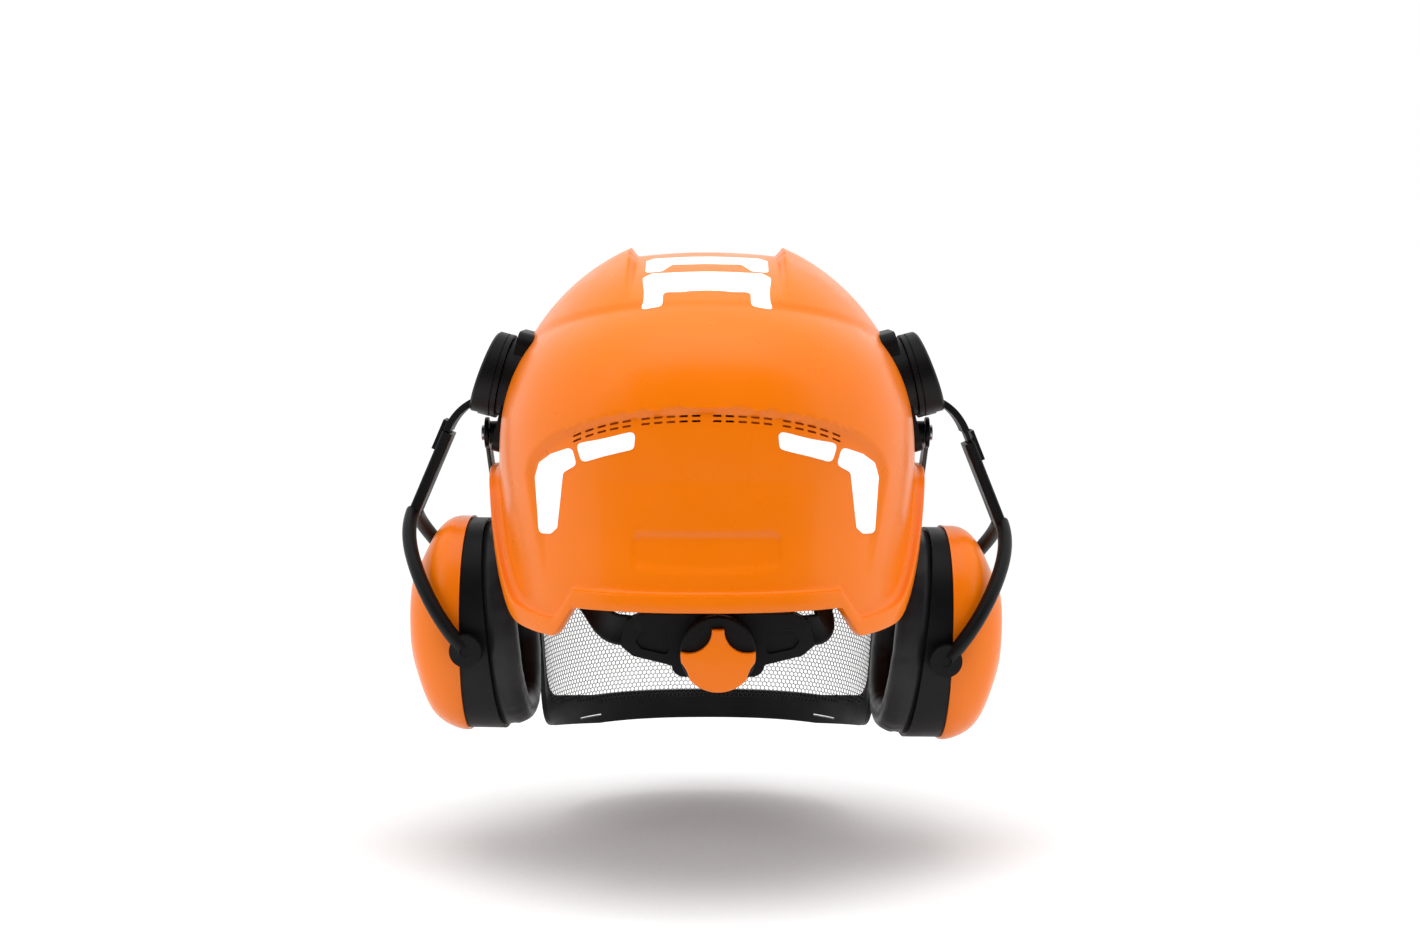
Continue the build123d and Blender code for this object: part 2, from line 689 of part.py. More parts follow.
with BuildPart() as cup:
    add(cup_solid())
    add(cup_solid(CUP_WALL), mode=Mode.SUBTRACT)
export_pair(cup.part, "cup", turned=True, slid=True)

lean_plane = Plane(origin=(CUP_X - RING_MID, 0, CUP_Z), x_dir=(0, 1, 0),
                   z_dir=(-cos(radians(RING_LEAN)), 0, sin(radians(RING_LEAN))))
with BuildPart() as cup_ring:
    with BuildSketch(Plane.YZ.offset(CUP_X - 26)):
        with BuildLine():
            Spline(oval(RING_HALF_Y, RING_HALF_Z, CUP_Z), periodic=True)
        make_face()
        with BuildLine():
            Spline(oval(27, 38, CUP_Z), periodic=True)
        make_face(mode=Mode.SUBTRACT)
    extrude(amount=26)
    split(bisect_by=lean_plane, keep=Keep.BOTTOM)
    with BuildSketch(Plane.XZ.offset(-PRONG_Y - 2.6)):
        with Locations((PIVOT_X, PIVOT_Z)):
            Circle(2.5)
    extrude(amount=13)
    with BuildSketch(Plane.XZ.offset(PRONG_Y + 2.6)):
        with Locations((PIVOT_X, PIVOT_Z)):
            Circle(2.5)
    extrude(amount=-13)
export_pair(cup_ring.part, "cup_ring", turned=True, slid=True)

with BuildPart() as cushion:
    with BuildSketch(lean_plane):
        with BuildLine():
            Spline(oval(40.5, 52.5, 0), periodic=True)
        make_face()
        with BuildLine():
            Spline(oval(24.5, 35.5, 0), periodic=True)
        make_face(mode=Mode.SUBTRACT)
    extrude(amount=CUSHION_THICK)
    fillet(cushion.edges().group_by(Axis((0, 0, 0), tuple(lean_plane.z_dir)))[-1], 5.5)
export_pair(cushion.part, "cushion", turned=True, slid=True)

with BuildPart() as cup_foam:
    with BuildSketch(Plane.YZ.offset(CUP_X + 0.3)):
        with BuildLine():
            Spline(oval(38, 49, CUP_Z), periodic=True)
        make_face()
    extrude(amount=8)
export_pair(cup_foam.part, "cup_foam", turned=True, slid=True)

# ---------------------------------------------------------------- visor
def visor_form(grow=0.0):
    sections = []
    for z, a in VISOR_SECTIONS:
        sections.append((z, superellipse(a + grow, VISOR_B + grow, 60 + grow, VISOR_Y, 2.3)))
    return stack(sections)


def side_window(inset_side, inset_low, inset_top, radius):
    """Side-on outline of the visor, cut right across it."""
    low, high = VISOR_BOTTOM + inset_low, VISOR_TOP - inset_top
    rear = VISOR_REAR - inset_side
    with BuildPart() as block:
        with BuildSketch(Plane.YZ) as outline:
            with BuildLine():
                Polyline((-170, low), (-128, low + 1), (rear, low + VISOR_RISE), (rear, high),
                         (-170, high), close=True)
            make_face()
            fillet(outline.vertices().group_by(Axis.X)[-1].sort_by(Axis.Y)[0], radius)
        extrude(amount=130, both=True)
    return block.part


visor_outer = visor_form()
visor_inner = visor_form(-VISOR_THICK)
with BuildPart() as visor_frame:
    add(visor_outer)
    add(visor_inner, mode=Mode.SUBTRACT)
    add(side_window(0, 0, 0, 26), mode=Mode.INTERSECT)
    add(side_window(VISOR_SIDE, VISOR_BAR, 12, 20), mode=Mode.SUBTRACT)
    with Locations((-65, -120, -118.9), (65, -120, -118.9)):
        Box(11, 60, 1.0, mode=Mode.SUBTRACT)
export(visor_frame.part, "visor_frame")

with BuildPart() as visor_mesh:
    add(visor_form(-VISOR_THICK - RUN_GAP))
    add(visor_form(-VISOR_THICK - RUN_GAP - MESH_THICK), mode=Mode.SUBTRACT)
    add(side_window(VISOR_SIDE - 3, VISOR_BAR - 4, 8, 22), mode=Mode.INTERSECT)
export(visor_mesh.part, "visor_mesh")

with BuildPart() as visor_seal:
    add(visor_form(-VISOR_THICK - RUN_GAP))
    add(visor_form(-VISOR_THICK - RUN_GAP - 1.6), mode=Mode.SUBTRACT)
    with Locations((0, -150, VISOR_TOP - 2)):
        Box(140, 120, 9, mode=Mode.INTERSECT)
export(visor_seal.part, "visor_seal")

with BuildPart() as left_visor_arm:
    with BuildSketch(Plane.XY):
        with BuildLine():
            Polyline((VISOR_ARM_X, 0), (VISOR_ARM_X, -50), (103.0, -74), (97, -92),
                     (99.5, -93), (105.2, -75), (VISOR_ARM_X + VISOR_ARM_THICK, -51),
                     (VISOR_ARM_X + VISOR_ARM_THICK, 0), close=True)
        make_face()
    extrude(amount=70)
    with BuildPart(mode=Mode.INTERSECT):
        with BuildSketch(Plane.YZ) as side:
            with BuildLine():
                Polyline((VISOR_PIVOT_Y - 1, 42.5), (-70, 2), (-90, 2), (-90, 14), (-74, 16),
                         (VISOR_PIVOT_Y + 4, 56.5), close=True)
            make_face()
            with Locations((VISOR_PIVOT_Y, VISOR_PIVOT_Z)):
                Circle(8)
        extrude(amount=130)
    add(visor_form(0.02), mode=Mode.SUBTRACT)
    with BuildSketch(left_pivot.offset(-5)):
        Circle(PIN_RADIUS + 0.5 + RUN_GAP)
    extrude(amount=14, mode=Mode.SUBTRACT)
export(left_visor_arm.part, "left_visor_arm")
with BuildPart() as right_visor_arm:
    add(left_visor_arm.part.mirror(Plane.YZ))
export(right_visor_arm.part, "right_visor_arm")

with BuildPart() as visor_pins:
    with BuildSketch(left_pivot.offset(-4)):
        Circle(PIN_RADIUS + 0.5)
    extrude(amount=4 + CLEAR + VISOR_ARM_THICK + 0.3)
    with BuildSketch(left_pivot.offset(CLEAR + VISOR_ARM_THICK + 0.3)):
        Circle(4)
    extrude(amount=1.4)
    mirror(about=Plane.YZ)
export(visor_pins.part, "visor_pins")

print("done")
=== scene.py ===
"""Looks for the forestry helmet.

The row frame is in metres; lengths in this file are in millimetres until MM turns them.
The wearer faces -Y and the wearer's left is +X. The camera looks at the back of the helmet.
"""

import json
import math

import bmesh
import bpy
import numpy as np
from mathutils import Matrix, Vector, geometry, noise


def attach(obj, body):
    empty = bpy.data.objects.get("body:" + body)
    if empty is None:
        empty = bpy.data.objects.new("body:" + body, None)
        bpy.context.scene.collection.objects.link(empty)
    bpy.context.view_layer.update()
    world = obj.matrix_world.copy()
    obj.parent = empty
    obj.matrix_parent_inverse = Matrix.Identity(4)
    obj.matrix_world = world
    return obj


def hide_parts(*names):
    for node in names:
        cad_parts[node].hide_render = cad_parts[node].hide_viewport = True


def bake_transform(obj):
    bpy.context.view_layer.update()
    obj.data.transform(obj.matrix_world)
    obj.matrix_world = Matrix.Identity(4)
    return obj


MM = 0.001
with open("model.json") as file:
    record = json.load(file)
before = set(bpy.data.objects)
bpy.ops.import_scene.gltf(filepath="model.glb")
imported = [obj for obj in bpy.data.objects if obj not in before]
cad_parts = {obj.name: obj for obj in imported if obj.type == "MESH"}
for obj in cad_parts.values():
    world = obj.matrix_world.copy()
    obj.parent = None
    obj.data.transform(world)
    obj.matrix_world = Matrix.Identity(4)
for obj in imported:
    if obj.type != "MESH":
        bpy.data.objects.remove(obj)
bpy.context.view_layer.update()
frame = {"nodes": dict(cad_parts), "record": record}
scene = bpy.context.scene
body_of = {n: b for b, ns in frame["record"]["behaviour"]["bodies"].items() for n in ns}
slot_of = {s["node"]: s["material_slot"] for s in frame["record"]["subparts"]}


# ---------------------------------------------------------------- materials
class Look:
    """A procedural material: nodes are added with the coordinates of the piece itself."""

    def __init__(self, name, colour, rough, metal=0.0, specular=0.5, coat=0.0, sheen=0.0):
        self.m = bpy.data.materials.new(name)
        self.m.use_nodes = True
        self.t = self.m.node_tree
        self.p = self.t.nodes["Principled BSDF"]
        self.p.inputs["Base Color"].default_value = (*colour, 1)
        self.p.inputs["Roughness"].default_value = rough
        self.p.inputs["Metallic"].default_value = metal
        self.p.inputs["Specular IOR Level"].default_value = specular
        self.p.inputs["Coat Weight"].default_value = coat
        self.p.inputs["Coat Roughness"].default_value = 0.08
        self.p.inputs["Sheen Weight"].default_value = sheen
        self.p.inputs["Sheen Roughness"].default_value = 0.4
        self.colour, self.rough = colour, rough
        self.xyz = self.node("ShaderNodeTexCoord").outputs["Object"]
        self.normal = None

    def node(self, kind, **inputs):
        n = self.t.nodes.new(kind)
        for k, v in inputs.items():
            n.inputs[k.replace("_", " ")].default_value = v
        return n

    def link(self, a, b):
        self.t.links.new(a, b)

    def noise(self, scale, detail=2.0, rough=0.5, stretch=None):
        n = self.node("ShaderNodeTexNoise", Scale=scale, Detail=detail, Roughness=rough)
        source = self.xyz
        if stretch:
            m = self.node("ShaderNodeMapping")
            m.inputs["Scale"].default_value = stretch
            self.link(self.xyz, m.inputs["Vector"])
            source = m.outputs["Vector"]
        self.link(source, n.inputs["Vector"])
        return n.outputs["Fac"]

    def cells(self, scale, feature="F1"):
        n = self.t.nodes.new("ShaderNodeTexVoronoi")
        n.feature = feature
        n.inputs["Scale"].default_value = scale
        self.link(self.xyz, n.inputs["Vector"])
        return n.outputs["Distance"]

    def wave(self, scale, direction, distortion=0.0, profile="SIN"):
        n = self.t.nodes.new("ShaderNodeTexWave")
        n.bands_direction = direction
        n.wave_profile = profile
        n.inputs["Scale"].default_value = scale
        n.inputs["Distortion"].default_value = distortion
        self.link(self.xyz, n.inputs["Vector"])
        return n.outputs["Fac"]

    def maths(self, op, a, b):
        n = self.t.nodes.new("ShaderNodeMath")
        n.operation = op
        for i, v in enumerate((a, b)):
            if isinstance(v, (int, float)):
                n.inputs[i].default_value = v
            else:
                self.link(v, n.inputs[i])
        return n.outputs[0]

    def bump(self, height, depth, strength=1.0):
        """depth in millimetres."""
        n = self.t.nodes.new("ShaderNodeBump")
        n.inputs["Strength"].default_value = strength
        n.inputs["Distance"].default_value = depth * MM
        self.link(height, n.inputs["Height"])
        if self.normal is not None:
            self.link(self.normal, n.inputs["Normal"])
        self.normal = n.outputs["Normal"]
        self.link(self.normal, self.p.inputs["Normal"])
        return self

    def ramp(self, fac, stops):
        n = self.t.nodes.new("ShaderNodeValToRGB")
        e = n.color_ramp.elements
        while len(e) < len(stops):
            e.new(0.5)
        for i, (at, c) in enumerate(stops):
            e[i].position = at
            e[i].color = (*c, 1) if len(c) == 3 else c
        self.link(fac, n.inputs["Fac"])
        return n.outputs["Color"]

    def tint(self, fac, low, high, at=(0.35, 0.65)):
        """The base colour runs from low to high times the plain colour."""
        c = self.colour
        stops = [(at[0], tuple(x * low for x in c)), (at[1], tuple(min(x * high, 1) for x in c))]
        self.link(self.ramp(fac, stops), self.p.inputs["Base Color"])
        return self

    def vary_rough(self, fac, low, high, at=(0.3, 0.7)):
        stops = [(at[0], (low,) * 3), (at[1], (high,) * 3)]
        self.link(self.ramp(fac, stops), self.p.inputs["Roughness"])
        return self


ORANGE = (0.87, 0.182, 0.0)
BLACK = (0.0040, 0.0043, 0.0050)


def orange_plastic(name, colour=ORANGE):
    look = Look(name, colour, 0.3, specular=0.34, coat=0.06)
    look.tint(look.noise(9, 3), 0.97, 1.03)
    look.vary_rough(look.noise(60, 4), 0.26, 0.36)
    look.bump(look.noise(420, 2), 0.02, 0.5)
    scratch = look.noise(130, 1, stretch=(1, 0.06, 0.2))
    look.bump(scratch, 0.006, 0.1)
    return look.m


def black_plastic(name, grain=900, rough=0.46, colour=BLACK):
    look = Look(name, colour, rough, specular=0.2)
    look.tint(look.noise(14, 3), 0.85, 1.2)
    look.vary_rough(look.noise(70, 3), rough - 0.06, rough + 0.08)
    look.bump(look.cells(grain), 0.05, 0.55)
    look.bump(look.noise(grain * 2.2, 2), 0.02, 0.4)
    return look.m


def film_look(name):
    look = Look(name, (0.88, 0.89, 0.90), 0.28, specular=0.6, coat=0.3)
    cells = look.cells(700, "DISTANCE_TO_EDGE")
    look.tint(cells, 0.93, 1.06, (0.0, 0.12))
    look.bump(cells, 0.03, 0.4)
    # Painted light: the film glows with a weak white emission, standing in for the light that the
    # reflective film sends back.
    look.p.inputs["Emission Color"].default_value = (1, 1, 1, 1)
    look.p.inputs["Emission Strength"].default_value = 0.25
    return look.m


def webbing_look(name):
    look = Look(name, (0.035, 0.036, 0.040), 0.82, specular=0.25, sheen=0.35)
    warp = look.wave(520, "X")
    weft = look.wave(520, "Y")
    both = look.maths("MULTIPLY", warp, weft)
    # The weave pattern in the colour is painted shade: darker where the bump dips between the threads,
    # lighter on them.
    look.tint(both, 0.6, 1.5)
    look.bump(both, 0.18, 0.8)
    look.bump(look.noise(2500, 2), 0.03, 0.4)
    return look.m


def leather_look(name, colour=(0.008, 0.008, 0.0095), rough=0.4, pores=False):
    look = Look(name, colour, rough, specular=0.34, sheen=0.04)
    look.tint(look.noise(25, 3), 0.85, 1.2)
    look.vary_rough(look.noise(90, 3), rough - 0.07, rough + 0.1)
    look.bump(look.cells(650), 0.05, 0.5)
    look.bump(look.noise(70, 3), 0.25, 0.25)
    if pores:
        dots = look.maths("LESS_THAN", look.cells(260), 0.22)
        look.bump(look.maths("SUBTRACT", 1.0, dots), 0.3, 0.6)
    return look.m


def foam_look(name):
    look = Look(name, (0.028, 0.028, 0.031), 0.93, specular=0.15, sheen=0.3)
    # Painted shade: the colour follows the cell bump below, darker in its pits and lighter on its
    # ridges.
    look.tint(look.cells(1300), 0.5, 1.4, (0.1, 0.6))
    look.bump(look.cells(1300), 0.25, 0.9)
    look.bump(look.noise(180, 3), 0.2, 0.3)
    return look.m


def steel_look(name):
    look = Look(name, (0.50, 0.51, 0.53), 0.32, metal=1.0)
    look.vary_rough(look.noise(300, 2, stretch=(1, 8, 1)), 0.24, 0.42)
    look.bump(look.noise(800, 2, stretch=(1, 10, 1)), 0.01, 0.4)
    return look.m


def mesh_look(name):
    look = Look(name, (0.030, 0.031, 0.033), 0.38, metal=0.25, specular=0.5)
    look.vary_rough(look.noise(500, 2), 0.3, 0.48)
    look.bump(look.noise(1500, 2), 0.01, 0.5)
    return look.m


LOOKS = {
    "shell_orange": orange_plastic("shell_orange"),
    "cup_orange": orange_plastic("cup_orange"),
    "knob_orange": orange_plastic("knob_orange"),
    "reflective": film_look("reflective"),
    "harness_black": black_plastic("harness_black", 1100, 0.5),
    "muff_black": black_plastic("muff_black", 800, 0.42),
    "visor_black": black_plastic("visor_black", 1300, 0.36),
    "sweat_leather": leather_look("sweat_leather", (0.03, 0.028, 0.026), 0.6, True),
    "cushion_black": leather_look("cushion_black"),
    "webbing": webbing_look("webbing"),
    "pad_foam": foam_look("pad_foam"),
    "steel": steel_look("steel"),
    "mesh_metal": mesh_look("mesh_metal"),
    "seal_rubber": black_plastic("seal_rubber", 500, 0.7),
}
for name, node in frame["nodes"].items():
    node.data.materials.clear()
    node.data.materials.append(LOOKS[slot_of[name]])


# ---------------------------------------------------------------- mesh helpers
def piece(name, verts_mm, faces, body, slot, smooth=35.0, replaces=()):
    me = bpy.data.meshes.new(name)
    me.from_pydata([tuple(v) for v in np.asarray(verts_mm, float) * MM], [], faces)
    me.validate()
    ob = bpy.data.objects.new(name, me)
    scene.collection.objects.link(ob)
    finish_piece(ob, body, slot, smooth, replaces)
    return ob


def finish_piece(ob, body, slot, smooth=35.0, replaces=()):
    me = ob.data
    me.materials.clear()
    me.materials.append(LOOKS[slot])
    me.shade_smooth()
    if smooth:
        me.set_sharp_from_angle(angle=math.radians(smooth))
    if body:
        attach(ob, body)
    if replaces:
        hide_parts(*replaces)
    return ob


def fix_normals(ob):
    bm = bmesh.new()
    bm.from_mesh(ob.data)
    bmesh.ops.recalc_face_normals(bm, faces=bm.faces)
    bm.to_mesh(ob.data)
    bm.free()


def bevel(ob, width_mm, segments=2, angle=32.0):
    mod = ob.modifiers.new("edges", "BEVEL")
    mod.width = width_mm * MM
    mod.segments = segments
    mod.limit_method = "ANGLE"
    mod.angle_limit = math.radians(angle)
    mod.harden_normals = True
    return ob


def refined(node, width_mm):
    """The CAD node's form as a clean mesh with rounded edges, standing for it."""
    me = frame["nodes"][node].data.copy()
    bm = bmesh.new()
    bm.from_mesh(me)
    bmesh.ops.remove_doubles(bm, verts=bm.verts, dist=2e-6)
    bmesh.ops.dissolve_limit(bm, angle_limit=math.radians(0.6), verts=bm.verts, edges=bm.edges)
    bmesh.ops.dissolve_degenerate(bm, dist=2e-6, edges=bm.edges)
    bmesh.ops.recalc_face_normals(bm, faces=bm.faces)
    bm.to_mesh(me)
    bm.free()
    ob = bpy.data.objects.new(node + "_look", me)
    scene.collection.objects.link(ob)
    finish_piece(ob, body_of[node], slot_of[node], 32.0, (node,))
    if width_mm:
        bevel(ob, width_mm)
    return ob


def grid_faces(rows, columns, closed=True):
    """Quads of a grid whose vertices run row by row; closed joins the last column to the first."""
    faces = []
    for r in range(rows - 1):
        a, b = r * columns, (r + 1) * columns
        for c in range(columns if closed else columns - 1):
            d = (c + 1) % columns
            faces.append((a + c, a + d, b + d, b + c))
    return faces


def smoothstep(x, low, high):
    t = np.clip((x - low) / (high - low), 0, 1)
    return t * t * (3 - 2 * t)


def smooth_max(a, b, k):
    h = np.clip(0.5 + 0.5 * (a - b) / k, 0, 1)
    return b * (1 - h) + a * h + k * h * (1 - h)


def smooth_min(a, b, k):
    return -smooth_max(-a, -b, k)


# ---------------------------------------------------------------- shell form
EQUATOR = 38.0  # height where both domes are widest
HALF_WIDTH = 104.5
REAR_RISE, REAR_FRONT, REAR_LENGTH = 90.0, 108.0, 118.0
FRONT_RISE, FRONT_LENGTH, FRONT_TAIL, FRONT_CENTRE = 113.0, 103.0, 126.8, -15.0
PLAN_POWER = 2.4
CHANNEL_RADIUS, CHANNEL_CROWN, CHANNEL_Y, CHANNEL_Z = 182.0, 289.0, -8.0, -39.9
NOTCH_HALF, NOTCH_SLANT, NOTCH_Z, NOTCH_DROP = 62.5, 10.0, -22.0, 16.5
VENT_GROUPS, VENT_PITCH = (-49.2, -16.7, 16.7, 49.2), 5.9
VENT_Z, VENT_ROW = 69.4, 2.45
FLARE, FLANGE_HEIGHT = 6.2, 9.0
BRIM_A, BRIM_B, BRIM_Y = 94.0, 102.0, -40.0
RIM = [(100, -38.5), (84, -36.5), (66, -31), (50, -17), (36, -1), (22, 16), (8, 23.5),
       (-10, 25), (-45, 22), (-85, 17), (-118, 13)]


def shrink(rise, up, power):
    return np.maximum(1 - (np.clip(up, 0, None) / rise) ** power, 1e-9) ** (1 / power)


def gauge(x, y, a, front, rear, centre=0.0):
    """Under 1 inside the plan section, over 1 outside it."""
    y = y - centre
    b = np.where(y > 0, rear, front)
    return (np.abs(x) / a) ** PLAN_POWER + (np.abs(y) / b) ** PLAN_POWER


def in_rear_dome(x, y, z):
    up = z - EQUATOR
    skirt = np.maximum(-up, 0)
    s = shrink(REAR_RISE, up, 3.2)
    a = HALF_WIDTH * shrink(REAR_RISE, up, 2.5) - 0.05 * skirt
    return (gauge(x, y, a, REAR_FRONT * s, REAR_LENGTH * s + 0.08 * skirt) < 1) & (up < REAR_RISE)


def in_front_dome(x, y, z):
    up = z - EQUATOR
    skirt = np.maximum(-up, 0)
    s = shrink(FRONT_RISE, up, 2.2)
    a = HALF_WIDTH * shrink(FRONT_RISE, up, 2.0) - 0.05 * skirt
    front, rear = FRONT_LENGTH * s + 0.12 * skirt, FRONT_TAIL * s - 8 * smoothstep(skirt, 0, 12)
    return (gauge(x, y, a, front, rear, FRONT_CENTRE) < 1) & (up < FRONT_RISE)


def in_barrel(x, y, z):
    """Under the floor of the crown channel."""
    floor_radius = CHANNEL_RADIUS - x ** 2 / (2 * CHANNEL_CROWN)
    return (y - CHANNEL_Y) ** 2 + (z - CHANNEL_Z) ** 2 < floor_radius ** 2


def ray_reach(inside, d, far=230.0):
    low, high = np.zeros(len(d)), np.full(len(d), far)
    for _ in range(26):
        mid = (low + high) / 2
        hit = inside(d[:, 0] * mid, d[:, 1] * mid, EQUATOR + d[:, 2] * mid)
        low, high = np.where(hit, mid, low), np.where(hit, high, mid)
    return low


def panel_step(x, z):
    """Signed distance, roughly, inside the recessed rear panel."""
    half = np.where(z > 37, 85.8, 85.8 - (37 - z) * 0.19)
    g = (np.abs(x) / half) ** 2.13 + (np.clip(z - 37, 0, None) / 35.2) ** 2.13
    return (1 - g) * 19.0


def label_inside(x, z):
    low = -2.5 + 1.2 * (x / 35) ** 2
    dx, dz = np.abs(x) - 32, np.abs(z - (13 + low) / 2) - ((13 - low) / 2 - 3)
    out = np.hypot(np.clip(dx, 0, None), np.clip(dz, 0, None)) + np.minimum(np.maximum(dx, dz), 0)
    return 3 - out


WING_STEP, PANEL_DEPTH, LABEL_DEPTH = 1.1, 2.4, 1.0


def shell_reach(d):
    """Distance from the shell's middle (0, 0, EQUATOR) to its outer surface along unit rays d."""
    rear, front = ray_reach(in_rear_dome, d), ray_reach(in_front_dome, d)
    front = front + WING_STEP * smoothstep(front - rear, -0.2, 1.4) * (d[:, 2] > 0)
    r = smooth_max(rear, front, 0.5)
    floor = smooth_min(ray_reach(in_barrel, d), r, 1.2)
    wall = smoothstep(np.abs(r * d[:, 0]), 36.9, 38.7)
    r = floor * (1 - wall) + r * wall
    x, y, z = r * d[:, 0], r * d[:, 1], EQUATOR + r * d[:, 2]
    back = (y > 20).astype(float)
    fade = 1 - smoothstep(-z, -16, 14)
    r = r - PANEL_DEPTH * back * fade * smoothstep(panel_step(x, z), -0.9, 1.0)
    r = r - LABEL_DEPTH * back * (y > 90) * smoothstep(label_inside(x, z), -0.8, 0.6)
    return r


def rim_height(x, y):
    ys = np.array([p[0] for p in RIM], float)
    zs = np.array([p[1] for p in RIM], float)
    slope = np.gradient(zs, ys)
    order = np.argsort(ys)
    ys, zs, slope = ys[order], zs[order], slope[order]
    q = np.clip(y, ys[0], ys[-1])
    i = np.clip(np.searchsorted(ys, q) - 1, 0, len(ys) - 2)
    h = ys[i + 1] - ys[i]
    t = (q - ys[i]) / h
    z = ((2 * t ** 3 - 3 * t ** 2 + 1) * zs[i] + (t ** 3 - 2 * t ** 2 + t) * h * slope[i]
         + (-2 * t ** 3 + 3 * t ** 2) * zs[i + 1] + (t ** 3 - t ** 2) * h * slope[i + 1])
    notch = NOTCH_Z - NOTCH_DROP * np.clip((np.abs(x) - NOTCH_HALF) / NOTCH_SLANT, 0, 1)
    return np.where(y > 60, smooth_max(z, notch, 6.0), z)


def rays(phi, psi):
    return np.stack([np.cos(psi) * np.cos(phi), np.cos(psi) * np.sin(phi), np.sin(psi)], -1)


def plan_reach(phi, z):
    """Horizontal distance from the Z axis to the outer surface at height z."""
    low, high = np.zeros(len(phi)), np.full(len(phi), 200.0)
    c, s = np.cos(phi), np.sin(phi)
    for _ in range(24):
        mid = (low + high) / 2
        hit = in_rear_dome(c * mid, s * mid, z) | in_front_dome(c * mid, s * mid, z)
        low, high = np.where(hit, mid, low), np.where(hit, high, mid)
    return low


def azimuths(count):
    """Denser at the back and round the corners of the notch."""
    phi = np.linspace(-math.pi, math.pi, 4001)
    x = 118 * np.cos(phi)
    weight = 1 + 1.2 * smoothstep(np.sin(phi), -0.1, 0.2)
    weight += 2.0 * (np.sin(phi) > 0) * np.exp(-((np.abs(x) - 67) / 9) ** 2)
    total = np.concatenate([[0], np.cumsum((weight[1:] + weight[:-1]) / 2)])
    return np.interp(np.linspace(0, total[-1], count + 1)[:-1], total, phi)


def build_shell():
    count, rows, inner_rows = ((550, 130, 22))
    phi = azimuths(count)
    c, s = np.cos(phi), np.sin(phi)
    z_rim = np.full(count, 0.0)
    for _ in range(14):
        reach = plan_reach(phi, z_rim)
        z_rim = 0.4 * z_rim + 0.6 * rim_height(reach * c, reach * s)
    reach = plan_reach(phi, z_rim)
    x, y = reach * c, reach * s
    # The flange: a flare at the sides, a crisp lip at the back and the brim in front.
    back = smoothstep(y, 62, 100)
    flare = FLARE - 3.0 * back
    tall = FLANGE_HEIGHT - 0.5 * back
    ex, ey, off = c / BRIM_A, s / BRIM_B, -BRIM_Y / BRIM_B
    qa, qb, qc = ex ** 2 + ey ** 2, 2 * ey * off, off ** 2 - 1
    brim = (-qb + np.sqrt(np.maximum(qb ** 2 - 4 * qa * qc, 0))) / (2 * qa)
    ahead = smoothstep(-y, 30, 70)
    flare = smooth_max(flare, (brim - reach) * ahead, 4.0) - 0.5
    thin = smoothstep(flare, 6.5, 13)
    tall = tall * (1 - thin) + 3.6 * thin
    k = np.clip(flare / 6, 0.4, 1.3)

    def ring(out, up):
        z = z_rim + up
        r = plan_reach(phi, z) + out
        return np.stack([r * c, r * s, z], -1)

    layers = []
    wall = -3.0
    # inside, crown to rim
    psi_in = np.arctan2(z_rim + 3 - EQUATOR, reach)
    for i in range(inner_rows):
        u = 1 - i / (inner_rows - 1)
        psi = psi_in + (math.pi / 2 - 0.02 - psi_in) * u
        d = rays(phi, psi)
        r = np.maximum(ray_reach(in_rear_dome, d), ray_reach(in_front_dome, d))
        r = smooth_min(r, ray_reach(in_barrel, d), 12.0) - 3.4
        layers.append(np.array([0, 0, EQUATOR]) + d * r[:, None])
    layers.append(ring(wall, 0.6))
    layers.append(ring(wall + 0.5, 0.0))
    layers.append(ring(flare * 0.35, np.zeros(count)))
    layers.append(ring(flare - 0.9, np.zeros(count)))
    layers.append(ring(flare - 0.25, 0.22 * np.ones(count)))
    layers.append(ring(flare, 0.9 * np.ones(count)))
    layers.append(ring(flare, tall * 0.5))
    layers.append(ring(flare, tall - 0.9))
    layers.append(ring(flare - 0.25, tall - 0.22))
    layers.append(ring(flare - 0.9, tall))
    for share, up in ((0.72, 0.12), (0.5, 0.3), (0.33, 0.75), (0.2, 1.5), (0.1, 2.6), (0.03, 4.2)):
        layers.append(ring(flare * share, tall + up * k))
    start = z_rim + tall + 6.5 * k
    psi0 = np.arctan2(start - EQUATOR, plan_reach(phi, start))
    for i in range(rows):
        u = i / (rows - 1)
        u = 0.80 * u + 0.20 * u ** 2
        psi = psi0 + (math.pi / 2 - 0.012 - psi0) * u
        d = rays(phi, psi)
        layers.append(np.array([0, 0, EQUATOR]) + d * shell_reach(d)[:, None])
    v = np.concatenate(layers)
    faces = grid_faces(len(layers), count)
    base = (len(layers) - 1) * count
    faces.append(tuple(base + i for i in range(count)))
    faces.append(tuple(reversed(range(count))))
    me = bpy.data.meshes.new("shell_look")
    me.from_pydata([tuple(p) for p in v * MM], [], faces)
    ob = bpy.data.objects.new("shell_look", me)
    scene.collection.objects.link(ob)
    cut_vents(ob)
    return finish_piece(ob, "helmet", "shell_orange", 42, ("shell",))


